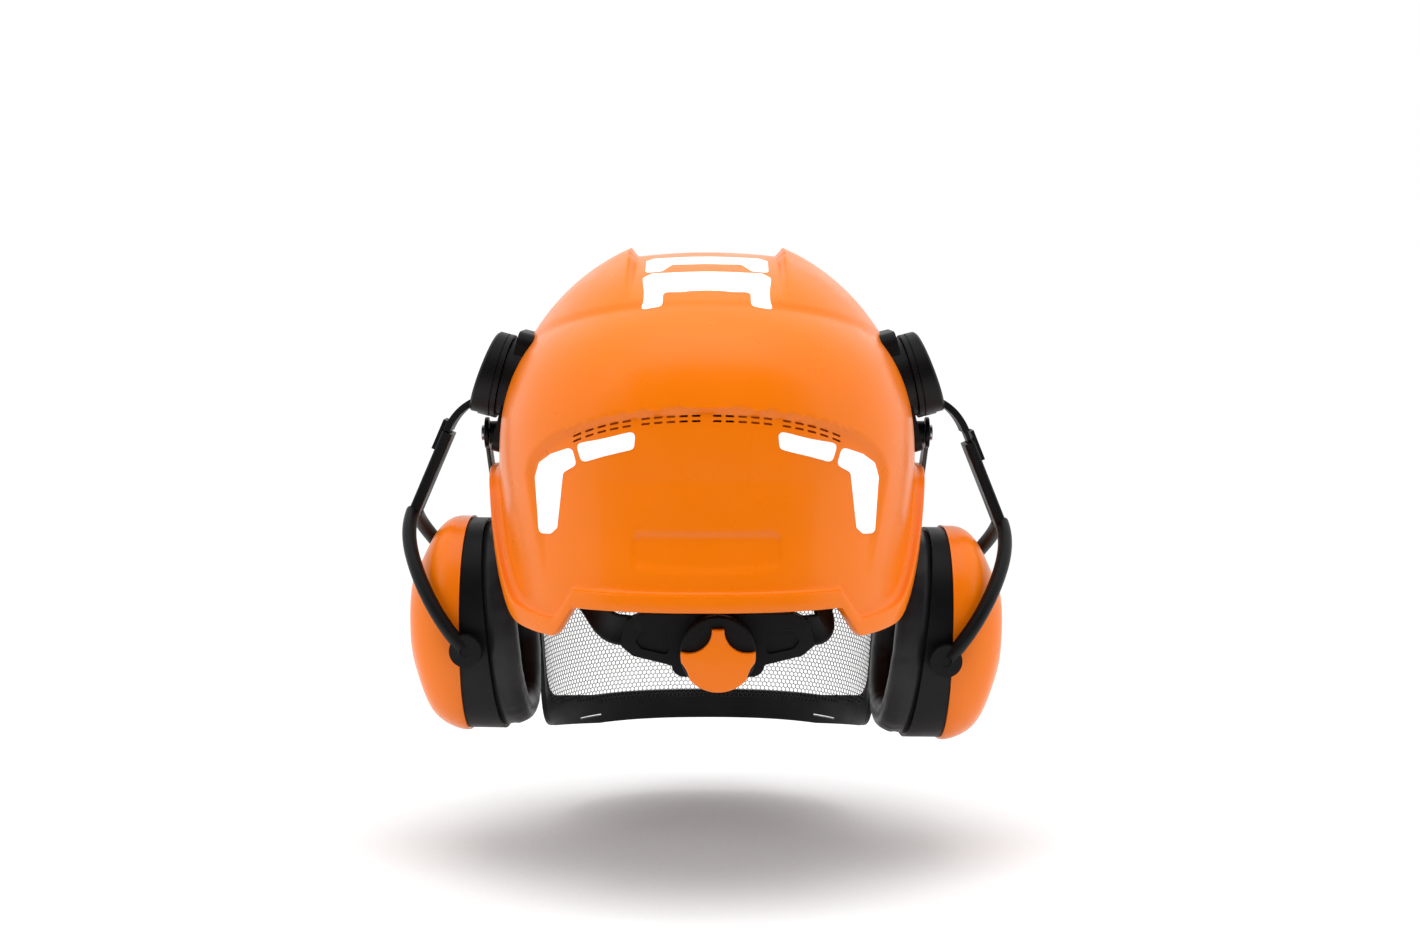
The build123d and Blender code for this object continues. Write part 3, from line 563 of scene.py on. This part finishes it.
def cut_vents(ob):
    verts, faces = [], []
    for centre in VENT_GROUPS:
        for i in range(5):
            x = centre + (i - 2) * VENT_PITCH
            fall = 0.0017 * x ** 2 + 2.8e-7 * x ** 4
            tilt = -(0.0034 * x + 1.12e-6 * x ** 3)
            for row in (0, 1):
                z = VENT_Z - row * VENT_ROW - fall
                base = len(verts)
                for y in (80, 140):
                    for dx, dz in ((-2.0, -0.25), (-1.7, -0.5), (1.7, -0.5), (2.0, -0.25),
                                   (2.0, 0.25), (1.7, 0.5), (-1.7, 0.5), (-2.0, 0.25)):
                        verts.append((x + dx, y, z + dz + dx * tilt))
                faces.append(tuple(base + q for q in range(8)))
                faces.append(tuple(base + 15 - q for q in range(8)))
                for q in range(8):
                    r = (q + 1) % 8
                    faces.append((base + q, base + 8 + q, base + 8 + r, base + r))
    me = bpy.data.meshes.new("cutter")
    me.from_pydata([tuple(c * MM for c in v) for v in verts], [], faces)
    cutter = bpy.data.objects.new("cutter", me)
    scene.collection.objects.link(cutter)
    fix_normals(cutter)
    mod = ob.modifiers.new("vents", "BOOLEAN")
    mod.operation = "DIFFERENCE"
    mod.solver = "MANIFOLD"
    mod.object = cutter
    apply_modifiers(ob)
    bpy.data.objects.remove(cutter)


def apply_modifiers(ob):
    bpy.context.view_layer.update()
    dg = bpy.context.evaluated_depsgraph_get()
    me = bpy.data.meshes.new_from_object(ob.evaluated_get(dg))
    ob.modifiers.clear()
    ob.data = me


shell = build_shell()
print("shell faces", len(shell.data.polygons))


# ---------------------------------------------------------------- reflective film
def rounded(outline, radius):
    points = []
    n = len(outline)
    for i in range(n):
        a, p, b = (np.array(outline[(i + k) % n], float) for k in (-1, 0, 1))
        u, w = a - p, b - p
        lu, lw = np.linalg.norm(u), np.linalg.norm(w)
        u, w = u / lu, w / lw
        turn = math.acos(np.clip(u @ w, -1, 1))
        cut = min(radius / math.tan(turn / 2), lu * 0.45, lw * 0.45)
        p0, p1 = p + u * cut, p + w * cut
        for t in np.linspace(0, 1, 9):
            points.append((1 - t) ** 2 * p0 + 2 * t * (1 - t) * p + t ** 2 * p1)
    return np.array(points)


def on_shell(points, lift, plane):
    """Points of a plane figure, (x, z) from behind or (x, y) from above, dropped onto the shell."""
    n = len(points)
    low, high = np.zeros(n), np.full(n, 170.0)
    for _ in range(18):
        mid = (low + high) / 2
        if plane == "XZ":
            p = np.stack([points[:, 0], mid, points[:, 1] - EQUATOR], -1)
        else:
            p = np.stack([points[:, 0], points[:, 1], mid - EQUATOR], -1)
        dist = np.linalg.norm(p, axis=1)
        hit = dist < shell_reach(p / dist[:, None])
        low, high = np.where(hit, mid, low), np.where(hit, high, mid)
    if plane == "XZ":
        p = np.stack([points[:, 0], low, points[:, 1] - EQUATOR], -1)
    else:
        p = np.stack([points[:, 0], points[:, 1], low - EQUATOR], -1)
    dist = np.linalg.norm(p, axis=1)
    p = p * (1 + lift / dist)[:, None]
    return p + np.array([0, 0, EQUATOR])


def decal(name, outlines, plane, node):
    verts, faces = [], []
    for outline in outlines:
        edge = rounded(outline, 2.8)
        lo, hi = edge.min(0), edge.max(0)
        step = 2.0
        inner = []
        poly = [Vector(p) for p in edge]
        for gx in np.arange(lo[0] + step / 2, hi[0], step):
            for gy in np.arange(lo[1] + step / 2, hi[1], step):
                q = Vector((gx, gy))
                clear = np.min(np.hypot(edge[:, 0] - gx, edge[:, 1] - gy)) > 0.9
                if clear and inside_polygon(gx, gy, edge):
                    inner.append(q)
        loop = list(range(len(edge)))
        out = geometry.delaunay_2d_cdt(poly + inner, [], [loop], 1, 1e-4)
        flat = np.array([tuple(p) for p in out[0]])
        top = on_shell(flat, 0.32, plane)
        low = on_shell(flat, 0.02, plane)
        base = len(verts)
        n = len(flat)
        verts.extend(top)
        verts.extend(low)
        tris = [tuple(f) for f in out[2]]
        edges = {}
        for f in tris:
            faces.append(tuple(base + i for i in f))
            faces.append(tuple(base + n + i for i in reversed(f)))
            for a, b in zip(f, f[1:] + f[:1]):
                edges[(a, b)] = edges.get((a, b), 0) + 1
        for (a, b) in edges:
            if (b, a) not in edges:
                faces.append((base + b, base + a, base + n + a, base + n + b))
    ob = piece(name, verts, faces, None, "reflective", 40)
    fix_normals(ob)
    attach(ob, "helmet")
    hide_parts(node)
    return ob


def inside_polygon(x, y, edge):
    a, b = edge, np.roll(edge, -1, axis=0)
    cross = (a[:, 1] > y) != (b[:, 1] > y)
    with np.errstate(divide="ignore", invalid="ignore"):
        at = (b[:, 0] - a[:, 0]) * (y - a[:, 1]) / (b[:, 1] - a[:, 1]) + a[:, 0]
    return int(np.sum(cross & (x < at))) % 2 == 1


REAR_BAR = [(61.5, 54.9), (33.1, 62.1), (34.0, 53.6), (58.8, 46.3)]
REAR_CORNER = [(63.6, 53.4), (73.9, 49.2), (80.0, 44.3), (82.1, 37.2), (80.1, 10.6),
               (74.0, 11.2), (70.9, 14.4), (67.9, 40.9), (61.3, 45.0)]
TOP_NEAR = [(-31, 78), (-31, 50), (-27, 45), (27, 45), (31, 50), (31, 78), (21, 78), (21, 68),
            (-21, 68), (-21, 78)]
TOP_FAR = [(-30, 43), (-30, 21), (-26, 16), (26, 16), (30, 21), (30, 43), (22, 43), (17, 33),
           (-17, 33), (-22, 43)]
mirrored = [[(-x, z) for x, z in reversed(o)] for o in (REAR_BAR, REAR_CORNER)]
decal("film_rear", [REAR_BAR, REAR_CORNER, *mirrored], "XZ", "reflectors_rear")
decal("film_top", [TOP_NEAR, TOP_FAR], "XY", "reflectors_top")


# ---------------------------------------------------------------- refined rigid pieces
for node, width in (("headband", 0.5), ("strap_hangers", 0.6), ("left_bracket", 0.5),
                    ("right_bracket", 0.5), ("hub_bolts", 0.3), ("hub_nuts", 0.4),
                    ("visor_pins", 0.3), ("nape_frame", 0.7),
                    ("nape_housing", 0.9), ("knob_grip", 0.4), ("knob_star", 0.3),
                    ("pinion", 0.2), ("visor_frame", 0.5), ("visor_seal", 0.4), ("left_visor_arm", 0.5),
                    ("right_visor_arm", 0.5)):
    refined(node, width)
for side in ("left", "right"):
    for name, width in (("hub_drum", 0.6), ("hub_cap", 0.5), ("hub_pin", 0.2), ("arm", 0.6),
                        ("yoke", 0.6), ("cup", 0.0), ("cup_ring", 0.8), ("cup_foam", 0.0)):
        refined(f"{side}_{name}", width)


# ---------------------------------------------------------------- visor mesh
VISOR_HEIGHTS, VISOR_HALVES = (-140.0, -60.0, -20.0, 30.0), (90.0, 92.8, 97.5, 105.6)
VISOR_B, VISOR_Y, VISOR_POWER = 92.0, -58.0, 2.3
MESH_PITCH, MESH_OPEN, MESH_GAUGE = 2.6, 0.88, 0.25
MESH_SEAT, MESH_INSET = 2.8, 2.85


def visor_half(z):
    """Half-width of the visor at height z, a smooth curve through the four sections."""
    zs, a = VISOR_HEIGHTS, VISOR_HALVES
    total = 0
    for i in range(4):
        term = a[i]
        for j in range(4):
            if j != i:
                term = term * (z - zs[j]) / (zs[i] - zs[j])
        total = total + term
    return total


def visor_point(theta, z, grow):
    a, b = visor_half(z) + grow, VISOR_B + grow
    c, s = np.cos(theta), np.sin(theta)
    x = a * np.sign(c) * np.abs(c) ** (2 / VISOR_POWER)
    y = VISOR_Y - b * np.abs(s) ** (2 / VISOR_POWER)
    return np.stack([x, y, z * np.ones_like(x)], -1)


def hex_mesh():
    pitch = MESH_PITCH
    table = np.linspace(0, math.pi, 4001)
    line = visor_point(table, -50.0, -MESH_SEAT)
    arc = np.concatenate([[0], np.cumsum(np.linalg.norm(np.diff(line, axis=0), axis=1))])
    row_step = pitch * math.sqrt(3) / 2
    radius = pitch / math.sqrt(3)
    hole = radius * MESH_OPEN
    verts, index, faces = [], {}, []

    def vertex(s, z, shared):
        key = (round(s * 50), round(z * 50))
        if shared and key in index:
            return index[key]
        verts.append((s, z))
        if shared:
            index[key] = len(verts) - 1
        return len(verts) - 1

    rows = int(124 / row_step)
    for j in range(rows):
        z = -113.0 + j * row_step
        for i in range(int(arc[-1] / pitch)):
            s = i * pitch + (pitch / 2 if j % 2 else 0)
            theta = np.interp(s, arc, table)
            p = visor_point(np.array([theta]), z, -MESH_SEAT)[0]
            if p[1] > -77.5 or z > 7.0 or z < -110.8 + max(p[1] + 128, 0) * 9 / 52:
                continue
            if p[1] > -98 and z < -84 and math.hypot(p[1] + 98, z + 84) > 21.5:
                continue
            outer, inner = [], []
            for k in range(6):
                a = math.radians(60 * k + 30)
                outer.append(vertex(s + radius * math.cos(a), z + radius * math.sin(a), True))
                inner.append(vertex(s + hole * math.cos(a), z + hole * math.sin(a), False))
            for k in range(6):
                m = (k + 1) % 6
                faces.append((outer[k], outer[m], inner[m], inner[k]))
    flat = np.array(verts)
    theta = np.interp(flat[:, 0], arc, table)
    pts = visor_point(theta, flat[:, 1], -MESH_INSET)
    ob = piece("visor_hex_mesh", pts, faces, "visor", "mesh_metal", None, ("visor_mesh",))
    mod = ob.modifiers.new("gauge", "SOLIDIFY")
    mod.thickness = MESH_GAUGE * MM
    mod.offset = 0
    return ob


hex_mesh()

# ---------------------------------------------------------------- muff placing
YAW, HUB_X = math.radians(-5.0), 101.7
PIN_X, PIN_Z = 110.5, 70.5
STEM_X, STEM_Z = 0.400, -0.917
SLID, TURN = 5.3, math.radians(1.5)


def placed(points, side):
    """Left-hand muff coordinates to the row frame, with the right cup's own setting."""
    p = np.array(points, float)
    if side < 0:
        p = p + np.array([SLID * STEM_X, 0, SLID * STEM_Z])
        dx, dz = p[:, 0] - PIN_X, p[:, 2] - PIN_Z
        p[:, 0] = PIN_X + dx * math.cos(TURN) + dz * math.sin(TURN)
        p[:, 2] = PIN_Z - dx * math.sin(TURN) + dz * math.cos(TURN)
    dx, dy = p[:, 0] - HUB_X, p[:, 1].copy()
    p[:, 0] = (HUB_X + dx * math.cos(YAW) - dy * math.sin(YAW)) * side
    p[:, 1] = dx * math.sin(YAW) + dy * math.cos(YAW)
    return p


def power(v, e):
    return np.sign(v) * np.abs(v) ** e


def cushion(side, name):
    around, section = 160, 44
    lean = math.radians(5.2)
    o = np.array([119.5 - 13.3, 0, -46.0])
    n = np.array([-math.cos(lean), 0, math.sin(lean)])
    up = np.array([math.sin(lean), 0, math.cos(lean)])
    across = np.array([0, 1.0, 0])
    pts = []
    for i in range(around):
        t = 2 * math.pi * i / around
        c, s = math.cos(t), math.sin(t)
        tangent = np.array([-s, c])
        for k in range(section):
            q = 2 * math.pi * k / section
            wide = 7.9 * power(np.array(math.cos(q)), 0.75)
            high = power(np.array(math.sin(q)), 0.62)
            h = 15.0 * high if high > 0 else 0.3 * high
            crumple = noise.noise(Vector((c * 6.5, s * 8.5, side * 3 + h * 0.10)))
            fine = noise.noise(Vector((c * 21, s * 26, 5 + h * 0.22)))
            edge = math.sin(math.pi * np.clip(h / 15.0, 0, 1))
            wide = wide * (1 + 0.05 * crumple * edge) + 0.22 * fine * edge
            seam = math.exp(-((h - 4.2) / 0.7) ** 2) * (1 if math.cos(q) > 0 else 0.6)
            wide = wide - power(np.array(math.cos(q)), 0.5) * 0.55 * seam
            h = h + (0.25 * crumple + 0.1 * fine) * max(high, 0) - (0.3 * max(high, 0))
            y = (32.5 + wide) * power(np.array(c), 2 / 2.3)
            z = (44.0 + wide) * power(np.array(s), 2 / 2.3)
            pts.append(o + across * y + up * z + n * max(h, 0.02))
    pts = placed(pts, side)
    faces = []
    for i in range(around):
        a, b = i * section, ((i + 1) % around) * section
        for k in range(section):
            m = (k + 1) % section
            quad = (a + k, a + m, b + m, b + k)
            faces.append(quad if side > 0 else quad[::-1])
    ob = piece(f"{name}_cushion_look", pts, faces, f"{name}_cup", "cushion_black", None,
               (f"{name}_cushion",))
    return ob


for side, name in ((1, "left"), (-1, "right")):
    cushion(side, name)


# ---------------------------------------------------------------- harness soft pieces
STRAP_ANGLES, STRAP_APEX = (32.0, 90.0, 148.0), (108.0, 110.0, 112.0)


def crown_strap(index):
    angle, apex = math.radians(STRAP_ANGLES[index]), STRAP_APEX[index]
    reach = 1 / math.sqrt((math.cos(angle) / 91) ** 2 + (math.sin(angle) / 106) ** 2) - 2.4
    rise = apex - 40.0
    u = np.array([math.cos(angle), math.sin(angle), 0])
    w = np.array([-math.sin(angle), math.cos(angle), 0])
    steps, half, thick = 120, 10.0, 1.15
    # half width and thickness share of the section's outline, with a rolled selvedge
    outline = [(-1, -0.35), (-0.97, -0.62), (-0.9, -0.62), (-0.84, -0.45), (0, -0.45), (0.84, -0.45),
               (0.9, -0.62), (0.97, -0.62), (1, -0.35), (1, 0.35), (0.97, 0.5), (0.9, 0.5), (0.84, 0.45),
               (0, 0.45), (-0.84, 0.45), (-0.9, 0.5), (-0.97, 0.5), (-1, 0.35)]
    pts, length, last = [], 0.0, None
    for i in range(steps):
        t = math.pi * i / (steps - 1)
        x, z = reach * math.cos(t), rise * math.sin(t)
        nx, nz = math.cos(t) / reach, math.sin(t) / rise
        scale = math.hypot(nx, nz)
        nx, nz = nx / scale, nz / scale
        centre = u * (x - nx * 0.6) + np.array([0, 0, 40 + z - nz * 0.6])
        if last is not None:
            length += np.linalg.norm(centre - last)
        last = centre
        sag = 0.25 * math.sin(9 * t)
        for a, b in outline:
            outward = u * nx + np.array([0, 0, nz])
            pts.append(centre + w * (half * a) + outward * (b * thick + sag * 0.2))
    m = len(outline)
    faces = grid_faces(steps, m)
    faces.append(tuple(range(m)))
    faces.append(tuple((steps - 1) * m + k for k in reversed(range(m))))
    node = f"crown_strap_{index + 1}"
    ob = piece(node + "_look", pts, faces, "helmet", "webbing", 50, (node,))
    fix_normals(ob)


for index in range(3):
    crown_strap(index)


def sweatband():
    ang = np.linspace(math.radians(205), math.radians(335), 160)
    section = 26
    pts = []
    for t in ang:
        c, s = math.cos(t), math.sin(t)
        end = min(1.0, (t - ang[0]) / 0.05, (ang[-1] - t) / 0.05)
        end = max(end, 0.06) ** 0.5
        for k in range(section):
            q = 2 * math.pi * k / section
            thick = 1.6 + 1.5 * float(power(np.array(math.cos(q)), 0.7)) * end
            z = 15 + 14.6 * float(power(np.array(math.sin(q)), 0.55)) * (0.9 + 0.1 * end)
            thick += 0.12 * noise.noise(Vector((t * 14, z * 0.15, 2))) * end
            a, b = 78.2 - thick, 97.2 - thick
            pts.append((a * c, b * s, z))
    faces = grid_faces(len(ang), section)
    faces.append(tuple(range(section)))
    faces.append(tuple((len(ang) - 1) * section + k for k in reversed(range(section))))
    ob = piece("sweatband_look", pts, faces, None, "sweat_leather", 60)
    fix_normals(ob)
    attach(ob, "helmet")
    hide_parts("sweatband")


sweatband()


def pads():
    """Two foam pads with a rounded face, on the front of the nape unit."""
    verts, faces = [], []
    for centre in (-28.0, 18.0):
        n, rings = 72, 12
        base = len(verts)
        for r in range(rings):
            u = r / (rings - 1)
            inset = 5.0 * (1 - math.cos(u * math.pi / 2))
            depth = 3.9 * math.sin(u * math.pi / 2)
            for k in range(n):
                t = 2 * math.pi * k / n
                hx, hz = 16.9 - inset, 8.4 - inset
                x = centre + hx * float(power(np.array(math.cos(t)), 0.5))
                z = -36.5 + hz * float(power(np.array(math.sin(t)), 0.5))
                dent = 0.15 * noise.noise(Vector((x * 0.2, z * 0.2, 1)))
                verts.append((x, 97.0 - depth - dent * u, z))
        loop = grid_faces(rings, n)
        faces.extend(tuple(base + i for i in f) for f in loop)
        faces.append(tuple(base + k for k in range(n)))
        faces.append(tuple(base + (rings - 1) * n + k for k in reversed(range(n))))
    ob = piece("nape_pads_look", verts, faces, None, "pad_foam", 60)
    fix_normals(ob)
    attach(ob, "nape")
    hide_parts("nape_pads")


pads()


def band_arm(side, name):
    """The strip from the headband to the nape unit; on the helmet it bends as the ratchet draws the unit
    in, but here it is built in one fixed shape.
    """
    tip = -5.0 + side * 49.0
    keys = np.array([(side * 78.5, 20, 16), (side * 75.5, 37, 12), (side * 73, 56, 4),
                     (side * 65, 75, -10), (side * 56, 88, -22), (tip, 99, -33),
                     (tip - side * 8, 100.5, -34)], float)
    t = np.concatenate([[0], np.cumsum(np.linalg.norm(np.diff(keys, axis=0), axis=1))])
    fine = np.linspace(0, t[-1], 90)
    tangent = np.gradient(keys, t, axis=0)
    i = np.clip(np.searchsorted(t, fine) - 1, 0, len(t) - 2)
    h = (t[i + 1] - t[i])[:, None]
    q = ((fine - t[i]) / (t[i + 1] - t[i]))[:, None]
    path = ((2 * q ** 3 - 3 * q ** 2 + 1) * keys[i] + (q ** 3 - 2 * q ** 2 + q) * h * tangent[i]
            + (3 * q ** 2 - 2 * q ** 3) * keys[i + 1] + (q ** 3 - q ** 2) * h * tangent[i + 1])
    along = np.gradient(path, axis=0)
    along /= np.linalg.norm(along, axis=1)[:, None]
    outward = path * np.array([1 / 80 ** 2, 1 / 100 ** 2, 0])
    outward -= along * np.sum(outward * along, axis=1)[:, None]
    outward /= np.linalg.norm(outward, axis=1)[:, None]
    up = np.cross(outward, along)
    outline = [(-1, -0.7), (-0.93, -1), (-0.8, -1), (-0.7, -0.6), (0.7, -0.6), (0.8, -1), (0.93, -1),
               (1, -0.7),
               (1, 0.7), (0.93, 1), (0.8, 1), (0.7, 0.6), (-0.7, 0.6), (-0.8, 1), (-0.93, 1), (-1, 0.7)]
    pts = []
    for k in range(len(fine)):
        for a, b in outline:
            pts.append(path[k] + up[k] * (a * 7.4) + outward[k] * (b * 1.0))
    m = len(outline)
    faces = grid_faces(len(fine), m)
    faces.append(tuple(range(m)))
    faces.append(tuple((len(fine) - 1) * m + k for k in reversed(range(m))))
    ob = piece(f"{name}_band_arm_look", pts, faces, None, "harness_black", 35)
    fix_normals(ob)
    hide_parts(f"{name}_band_arm")
    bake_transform(ob)


band_arm(1, "left")
band_arm(-1, "right")

# ---------------------------------------------------------------- stage, light and camera
floor_look = Look("floor", (0.95, 0.95, 0.95), 0.9, specular=0.0)
# Painted shadow: an ambient occlusion node darkens the floor's base colour under and round the helmet,
# deepening its shade beyond what the lamps cast.
painted_shadow_ao = floor_look.node("ShaderNodeAmbientOcclusion", Distance=0.35)
floor_look.link(floor_look.ramp(painted_shadow_ao.outputs["AO"], [(0.25, (0.42,) * 3), (0.85, (0.95,) * 3)]),
                floor_look.p.inputs["Base Color"])
# The floor turns to plain white further out, so it meets the white backdrop without a line.
away = floor_look.node("ShaderNodeVectorMath")
away.operation = "LENGTH"
floor_look.link(floor_look.xyz, away.inputs[0])
far = floor_look.ramp(away.outputs["Value"], [(0.22, (0.06,) * 3), (0.75, (1,) * 3)])
glow = floor_look.node("ShaderNodeEmission", Strength=1.02)
blend = floor_look.t.nodes.new("ShaderNodeMixShader")
floor_look.link(far, blend.inputs[0])
floor_look.link(floor_look.p.outputs[0], blend.inputs[1])
floor_look.link(glow.outputs[0], blend.inputs[2])
floor_look.link(blend.outputs[0], floor_look.t.nodes["Material Output"].inputs[0])
me = bpy.data.meshes.new("floor")
size, low = 12.0, -0.166
corners = [(-size, -size, low), (size, -size, low), (size, size, low), (-size, size, low)]
me.from_pydata(corners, [], [(0, 1, 2, 3)])
floor = bpy.data.objects.new("floor", me)
scene.collection.objects.link(floor)
me.materials.append(floor_look.m)

world = bpy.data.worlds.new("studio")
scene.world = world
world.use_nodes = True
world.node_tree.nodes["Background"].inputs["Color"].default_value = (1, 1, 1, 1)


def flag(name, corners, grey):
    """A dark card that the gloss and the shading see but no camera does."""
    me = bpy.data.meshes.new(name)
    me.from_pydata(corners, [], [(0, 1, 2, 3)])
    look = Look(name, (grey,) * 3, 1.0, specular=0.0)
    card = look.node("ShaderNodeEmission", Color=(grey, grey, grey, 1), Strength=1.0)
    look.link(card.outputs[0], look.t.nodes["Material Output"].inputs[0])
    me.materials.append(look.m)
    ob = bpy.data.objects.new(name, me)
    scene.collection.objects.link(ob)
    ob.visible_camera = False


# The back of the shell looks at a dark card, which keeps its colour deep. A second lies on the
# floor before it.
flag("card", [(-2.6, 1.9, low), (2.6, 1.9, low), (2.6, 1.9, 2.3), (-2.6, 1.9, 2.3)], 0.06)
flag("floor_card", [(-2.6, 0.85, low + 0.002), (2.6, 0.85, low + 0.002), (2.6, 1.9, low + 0.002),
                    (-2.6, 1.9, low + 0.002)], 0.3)


def area_light(name, at, towards, size_m, watts):
    data = bpy.data.lights.new(name, "AREA")
    data.shape = "RECTANGLE"
    data.size, data.size_y = size_m
    data.energy = watts
    ob = bpy.data.objects.new(name, data)
    scene.collection.objects.link(ob)
    ob.location = at
    ob.rotation_mode = "QUATERNION"
    ob.rotation_quaternion = (Vector(towards) - Vector(at)).to_track_quat("-Z", "Y")
    ob.visible_glossy = False
    return ob


area_light("left_box", (1.2, 1.0, 0.9), (0, 0, 0.03), (0.7, 0.9), 8)
area_light("right_box", (-1.2, 1.0, 0.9), (0, 0, 0.03), (0.7, 0.9), 8)
area_light("top_box", (0, 0.3, 1.5), (0, 0, 0.05), (1.4, 1.2), 12.5)

target = Vector((-1.5, 0, 30.4)) * MM
rise = math.radians(6)
camera = bpy.data.objects.new("camera", bpy.data.cameras.new("camera"))
scene.collection.objects.link(camera)
camera.data.lens = 69.9
camera.data.sensor_width = 36
back = Vector((0, math.cos(rise), math.sin(rise)))
camera.location = target + back * 1.4
camera.rotation_mode = "QUATERNION"
camera.rotation_quaternion = back.to_track_quat("Z", "Y")
camera.data.clip_start, camera.data.clip_end = 0.05, 50
scene.camera = camera
scene.view_settings.view_transform = "Standard"
